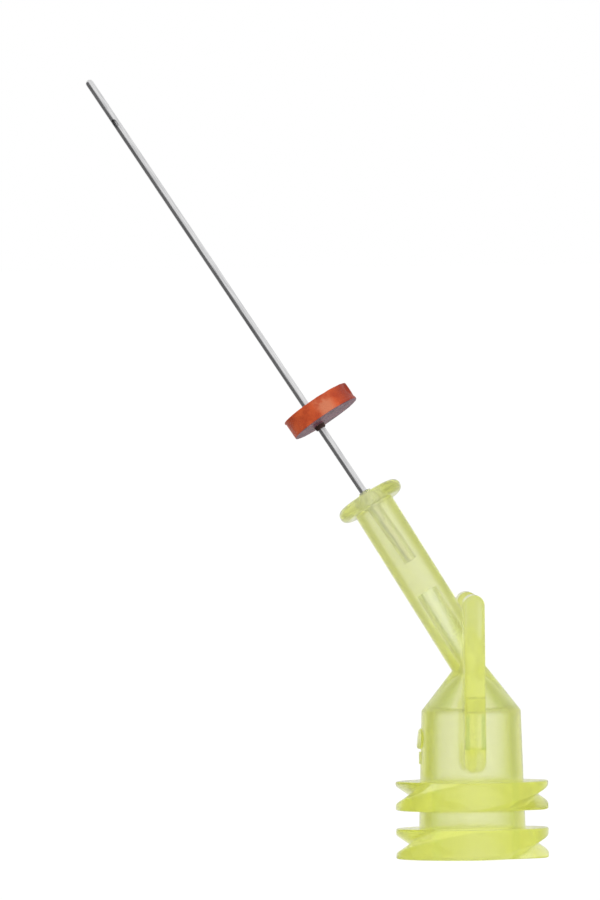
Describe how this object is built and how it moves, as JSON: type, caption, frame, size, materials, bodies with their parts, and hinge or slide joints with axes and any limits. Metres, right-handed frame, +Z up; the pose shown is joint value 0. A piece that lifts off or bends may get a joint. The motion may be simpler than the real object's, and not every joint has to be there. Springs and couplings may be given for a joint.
{
  "type": "endodontic irrigation needle",
  "caption": "Side-vented dental irrigation needle: translucent luer-lock hub with bent neck and grip fins, fine steel needle and sliding silicone stop.",
  "frame": {"origin": "centre of the hub's mouth, on the hub's axis, in the face that the hub stands on", "axes": "+Z up the hub's axis and away from the syringe; the needle leans to -X; the front grip fin points to -Y"},
  "size_m": [0.0229, 0.0098, 0.0397],
  "materials": {
    "hub_plastic": "gloss",
    "needle_steel": "satin",
    "clear_adhesive": "gloss",
    "stop_silicone": "satin"
  },
  "bodies": {
    "tip": {"hub": "hub_plastic", "needle": "needle_steel", "adhesive": "clear_adhesive"},
    "stop": {"stopper": "stop_silicone"}
  },
  "joints": [
    {"name": "stop_slide", "type": "slide", "parent": "tip", "child": "stop", "axis": [-0.5361, 0.1639, 0.8281], "range_m": [-0.0036, 0.017]}
  ]
}
